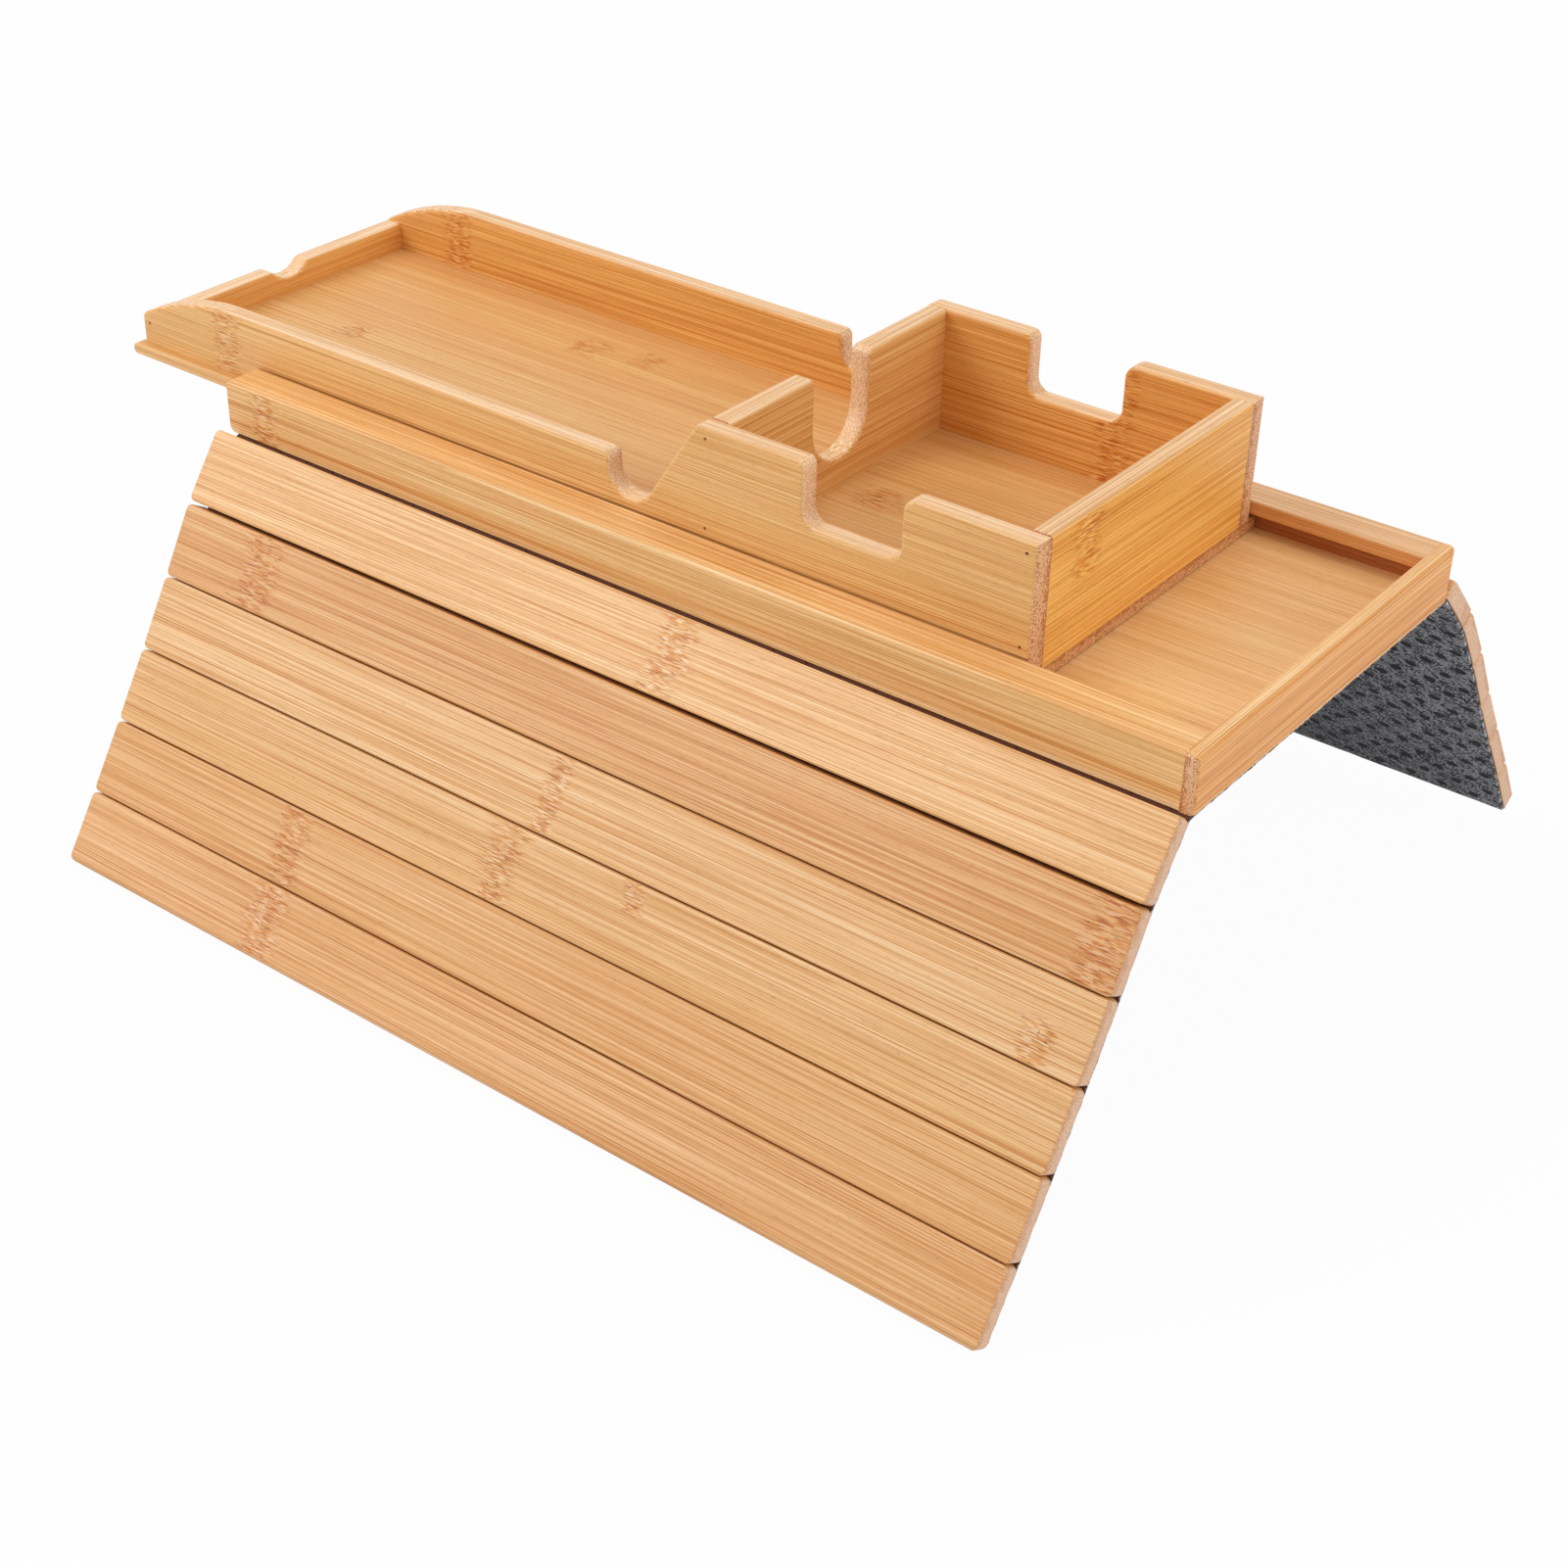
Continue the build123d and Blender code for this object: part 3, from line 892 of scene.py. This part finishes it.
def felt_faces(rows, sign):
    """Both faces of a sheet with this many rows, and the cut edge all round."""
    faces = []
    stride = 2 * (FELT_COLUMNS + 1)
    for row in range(rows - 1):
        for column in range(FELT_COLUMNS):
            corner = row * stride + column * 2
            outer = (corner, corner + stride, corner + stride + 2, corner + 2)
            faces += [outer, tuple(index + 1 for index in reversed(outer))]
        for column, order in ((0, 1), (FELT_COLUMNS, -1)):
            corner = row * stride + column * 2
            faces.append((corner, corner + 1, corner + stride + 1, corner + stride)[::order])
    for row, order in ((0, 1), (rows - 1, -1)):
        for column in range(FELT_COLUMNS):
            corner = row * stride + column * 2
            faces.append((corner, corner + 2, corner + 3, corner + 1)[::order])
    return [face[::-1] for face in faces] if sign > 0 else faces


def felt_mesh(name, strip, sign, from_centre, loose_end):
    """A thick sheet of felt that follows the strip."""
    points, places = felt_points(strip, sign, from_centre, loose_end)
    mesh = bpy.data.meshes.new(name)
    mesh.from_pydata(points, [], felt_faces(len(strip), sign))
    mesh.attributes.new("felt_place", "FLOAT_VECTOR", "POINT")
    mesh.attributes["felt_place"].data.foreach_set("vector", [c for place in places for c in place])
    mesh.shade_smooth()
    mesh.set_sharp_from_angle(angle=CREASE)
    return mesh


print("the felt is", round(FELT_THICKNESS / MM, 2), "mm thick")

# %% [markdown]
# ## The look of the felt
#
# The felt is pressed from light and dark fibres, so up close it is salt and pepper with short
# slanting streaks. Small pits are punched into it in a lattice: columns 6.55 mm apart, each
# shifted half a step against the next. Modelled pits would take a very fine mesh, so they are
# bump, and the shade in them is painted near black into the colour. The side that faces the
# slats shows only in the gaps between them, and there the shade is painted dark brown. The
# places on the flat sheet are stored with the mesh, so the pits keep their spacing where the
# sheet bends.

# %% Find the nearest pit
PIT_SPACING = 6.55
PIT_STEP = 13.3
PIT_PHASE = (194.75, 117.0)
PIT_RADIUS = 1.9
PIT_STRETCH = 0.6
COLUMNS_LEFT = 60
STEPS_BEFORE = 30


def pit_distance(felt, along_x, along_sheet):
    """The distance in mm to the nearest pit of the two interleaved lattices.

    Ping-pong folds a length back and forth, so it gives the distance to the nearest column
    or row. Both lattices start far outside the sheet, so every length is above zero.
    """
    nearest = None
    for shift_x, shift_s in ((0.0, 0.0), (PIT_SPACING, PIT_STEP / 2)):
        first_column = PIT_PHASE[0] + shift_x - COLUMNS_LEFT * PIT_SPACING
        first_row = PIT_PHASE[1] + shift_s - STEPS_BEFORE * PIT_STEP
        to_column = felt.math("PINGPONG", along_x - first_column, PIT_SPACING)
        to_row = felt.math("PINGPONG", along_sheet - first_row, PIT_STEP / 2)
        distance = felt.math("SQRT", to_column * to_column * PIT_STRETCH + to_row * to_row)
        nearest = distance if nearest is None else felt.math("MINIMUM", nearest, distance)
    return nearest


print("pits are", 2 * PIT_RADIUS, "mm high, in columns", PIT_SPACING, "mm apart")

# %% Make the felt's finish
DARK_FIBRE = tone(44, 45, 50)
LIGHT_FIBRE = tone(172, 173, 178)
WHITE_FIBRE = tone(214, 215, 218)
# Painted shade: the pits are painted near black.
PIT_SHADE_BLACK = tone(4, 4, 5)
# Painted shade: the side that faces the slats, seen only in the gaps between them, is dark brown.
GAP_SHADE_BROWN = tone(88, 46, 26)
LIGHT_LEVEL = (0.46, 0.54)
WHITE_LEVEL = (0.56, 0.64)
WHITE_SHARE = 0.8
GAP_SHADE_SIDE = (0.1, 0.5)
STREAKS = {"degrees": 35, "length": 2.3, "width": 0.8}
CROSS_STREAKS = {"degrees": -50, "length": 1.8, "width": 0.7}
TUFTS = {"degrees": 20, "length": 9.0, "width": 6.0}
PIT_WOBBLE = 0.5
PIT_EDGE = (0.75 * PIT_RADIUS, 1.05 * PIT_RADIUS)


def slanted(felt, along_x, along_sheet, degrees, length, width):
    """Short streaks at this angle to the sheet's width."""
    lean, rise = math.cos(math.radians(degrees)), math.sin(math.radians(degrees))
    along = (along_x * lean + along_sheet * rise) / length
    aside = (along_sheet * lean - along_x * rise) / width
    return felt.noise(felt.joined(along, aside, degrees / 10), 2.0, 0.6)


def felt_finish():
    """Salt and pepper felt, with painted shade: black in the pits, brown on the slats' side."""
    material, felt = new_material("grey_felt_pressed")
    place = felt.node("ShaderNodeAttribute", {"attribute_name": "felt_place"}, output="Vector")
    along_x, along_sheet, through = [
        felt.node("ShaderNodeSeparateXYZ", None, {"Vector": place}, output=axis) for axis in "XYZ"
    ]
    wobble = (felt.noise(place, 2.0) - 0.5) * PIT_WOBBLE
    distance = pit_distance(felt, along_x, along_sheet) + wobble
    pit = 1.0 - felt.step(distance, *PIT_EDGE)
    streaks = slanted(felt, along_x, along_sheet, **STREAKS)
    crossing = slanted(felt, along_x, along_sheet, **CROSS_STREAKS)
    tufts = slanted(felt, along_x, along_sheet, **TUFTS)
    level = streaks * 0.6 + crossing * 0.4 + (tufts - 0.5) * 0.25
    colour = felt.mix(felt.step(level, *LIGHT_LEVEL), DARK_FIBRE, LIGHT_FIBRE)
    colour = felt.mix(felt.step(crossing, *WHITE_LEVEL) * WHITE_SHARE, colour, WHITE_FIBRE)
    # Painted shade in the pits.
    colour = felt.mix(pit, colour, PIT_SHADE_BLACK)
    # Painted shade on the side that faces the slats.
    colour = felt.mix(felt.step(through, *GAP_SHADE_SIDE), colour, GAP_SHADE_BROWN)
    height = streaks * 0.25 + crossing * 0.2 - pit * 1.2
    felt.principled(
        base_color=colour,
        roughness=0.86 + streaks * 0.12,
        sheen_weight=0.05,
        normal=felt.bump(height, 0.9, 0.6 * MM),
    )
    return material


grey_felt = felt_finish()
print("felt nodes:", len(grey_felt.node_tree.nodes))

# %% [markdown]
# ## Laying the felt
#
# Each piece of felt starts where the last one ended, and its fold lies between two bodies: the
# slat above its fold and the slat below it, or the platform for the first. It takes the place
# of the stiff panel that the solids have there.

# %% Lay the felt on the platform and the flaps
FOLD_REACH = 2.4 * MM
for side, sign in SIDES.items():
    line = felt_line(side)
    travelled = 0.0
    start = line[0]
    for number in range(1, 7):
        fold = line[number]
        end = line[7] if number == 6 else (fold + line[number + 1]) / 2
        strip = bent_strip(start, fold, end, FOLD_RADIUS)
        name = f"{side}_felt_sheet_{number}"
        sheet = bpy.data.objects.new(name, felt_mesh(name, strip, sign, travelled, number == 6))
        bpy.context.scene.collection.objects.link(sheet)
        sheet.data.materials.append(grey_felt)
        parent = "platform" if number == 1 else f"{side}_slat_{number - 1}"
        into, away = (fold - start).normalized(), (end - fold).normalized()
        fold - into * FOLD_REACH
        fold + away * FOLD_REACH
        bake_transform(sheet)
        hidden = [f"{side}_felt_{number}"]
        if number == 1 and side == "front":
            hidden.append("platform_felt")
        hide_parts(*hidden)
        length = (fold - start).length + (end - fold).length
        travelled += length
        start = end
    print(side, "sheet:", round(travelled / MM, 1), "mm from the centre to the hem")

# %% [markdown]
# ## Brads
#
# The brads are small steel nails sunk below the wood, so only a dark dot of dull metal shows
# in each hole. Plain metal would do from afar. A noise in the colour and the roughness keeps
# the heads from looking like mirrors up close.

# %% Finish the brads
RUST_SIZE = 0.4 * MM
brad_material, brad = new_material("brad_steel")
brad_place = brad.scaled(brad.node("ShaderNodeTexCoord", output="Object"), 1 / RUST_SIZE)
rust = brad.noise(brad_place, 3.0)
brad.principled(
    base_color=brad.mix(brad.step(rust, 0.4, 0.7), tone(30, 17, 12), tone(12, 8, 7)),
    metallic=0.3,
    roughness=0.6 + rust * 0.2,
)
for slot in nodes["tray_brads"].material_slots:
    slot.material = brad_material
print("the brads wear", brad_material.name)

# %% [markdown]
# ## Studio floor and backdrop
#
# The flaps' lower edges stand on pale paper that fades into white. Stronger lamps would also
# turn it white, but they would bleach the bamboo. So the floor and the world are white only
# where the camera or a reflection sees them, by Light Path, while the light that reaches the
# wood stays soft, and the floor keeps the shadow.

# %% Make the floor and the white backdrop
FLOOR_HALF = 4.0
FLOOR_CORNERS = ((-1, -1), (1, -1), (1, 1), (-1, 1))
WHITENESS = 0.96
AMBIENT = 0.60
floor_height = cad_bounds[0][2]
corners = [(x * FLOOR_HALF, y * FLOOR_HALF, floor_height) for x, y in FLOOR_CORNERS]
floor_mesh = bpy.data.meshes.new("studio_floor")
floor_mesh.from_pydata(corners, [], [(0, 1, 2, 3)])
floor = bpy.data.objects.new("studio_floor", floor_mesh)
bpy.context.scene.collection.objects.link(floor)


def unlit_share(finish):
    """1 for camera, glossy and transmission rays, 0 for the rays that carry light."""
    rays = ("Is Camera Ray", "Is Glossy Ray", "Is Transmission Ray")
    camera, glossy, through = [finish.node("ShaderNodeLightPath", output=ray) for ray in rays]
    return finish.math("MINIMUM", camera + glossy + through, 1.0)


paper_material, paper = new_material("studio_paper")
matte = paper.node("ShaderNodeBsdfDiffuse", None, {"Color": tone(220, 220, 220)})
glow = paper.node("ShaderNodeEmission", None, {"Color": (1, 1, 1, 1), "Strength": 1.0})
share = unlit_share(paper) * WHITENESS
lit_paper = paper.node("ShaderNodeMixShader", None, {0: share, 1: matte, 2: glow})
paper.node("ShaderNodeOutputMaterial", None, {"Surface": lit_paper})
floor_mesh.materials.append(paper_material)

world = bpy.data.worlds.new("studio_world")
bpy.context.scene.world = world
world.use_nodes = True
sky = Finish(world.node_tree)
level = unlit_share(sky) * (1.0 - AMBIENT) + AMBIENT
sky_light = sky.node("ShaderNodeBackground", None, {"Color": (1, 1, 1, 1), "Strength": level})
sky.node("ShaderNodeOutputWorld", None, {"Surface": sky_light})
print("floor at", round(floor_height / MM, 1), "mm")

# %% [markdown]
# ## Lamps
#
# The light in the picture is wide and soft: it comes mostly from the front left, with a
# little from above and from the right. Bare lamps would draw hard shadows in the notches. So
# each lamp is a large square that faces the tray, and the nearer one also makes the light
# fall off towards the right, as in the picture.

# %% Hang the soft lamps
def softbox(name, position, size, power):
    """A square lamp that faces the middle of the tray."""
    data = bpy.data.lights.new(name, "AREA")
    data.shape = "SQUARE"
    data.size = size
    data.energy = power
    lamp = bpy.data.objects.new(name, data)
    lamp.location = position
    lamp.rotation_euler = (-Vector(position)).to_track_quat("-Z", "Y").to_euler()
    bpy.context.scene.collection.objects.link(lamp)


softbox("key_softbox", (-1.2, -1.5, 1.2), size=1.22, power=20.7)
softbox("top_softbox", (-0.1, 0.4, 2.4), size=1.8, power=15)
softbox("side_softbox", (3.3, 0.3, 1.2), size=1.8, power=27)
bpy.context.scene.view_settings.view_transform = "Standard"

# %% [markdown]
# ## The box of the solids
#
# The dressed tray has to keep the size of the solids, whose box is measured when the model is
# loaded.
